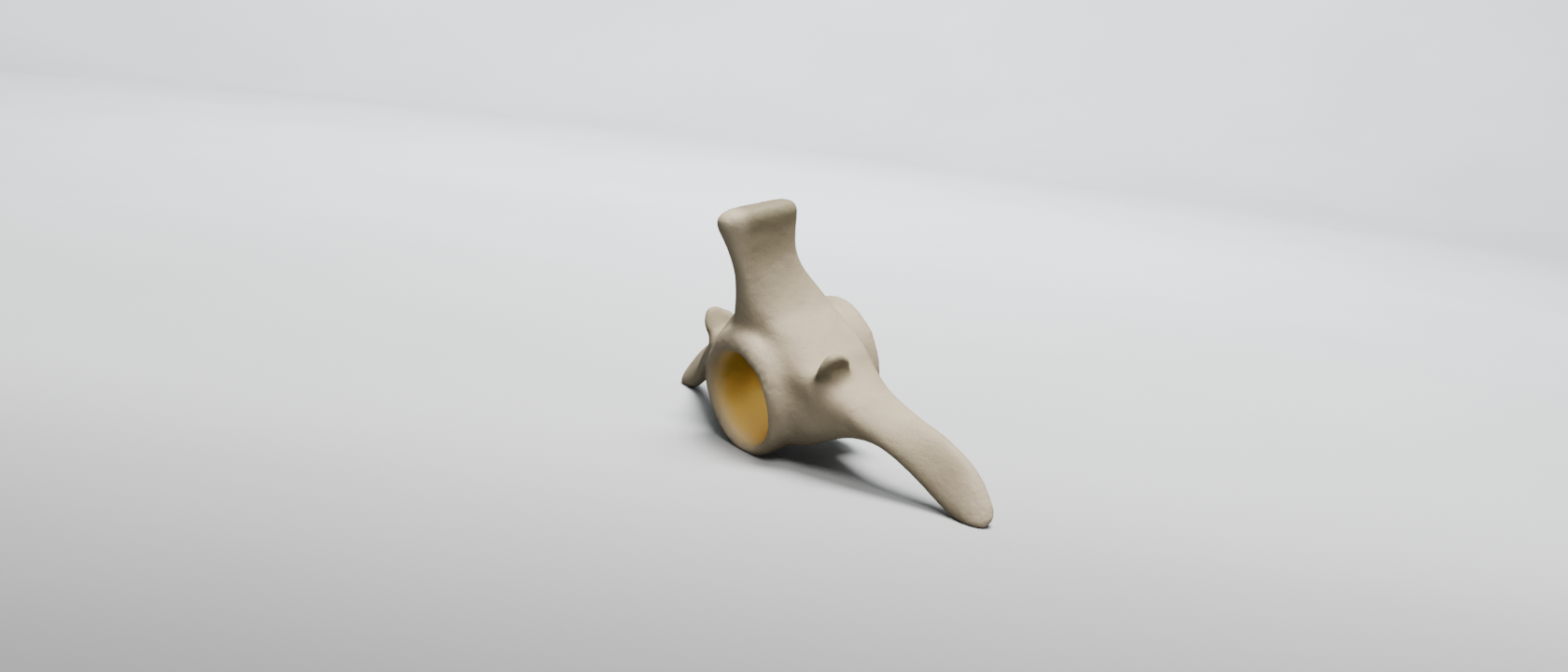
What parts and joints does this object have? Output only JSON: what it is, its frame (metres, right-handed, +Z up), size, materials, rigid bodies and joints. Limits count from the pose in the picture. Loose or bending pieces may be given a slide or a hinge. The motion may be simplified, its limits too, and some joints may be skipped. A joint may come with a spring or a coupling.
{
  "type": "pig lumbar vertebra",
  "caption": "Lumbar vertebra of a grown pig: round hollow-ended body with its arch, upright spinous process, small joint processes and long drooping transverse processes.",
  "frame": {"origin": "on the floor, under the centre of the bone's bounding box", "axes": "+X to the animal's left, along the transverse processes; +Y towards the tail end; +Z up, with the spinous process on top"},
  "size_m": [0.1486, 0.0554, 0.0743],
  "materials": {
    "bone": "dry ivory bone, matte, with a yellow-orange hollow"
  },
  "bodies": {
    "root": {"vertebra": "bone"}
  },
  "joints": []
}
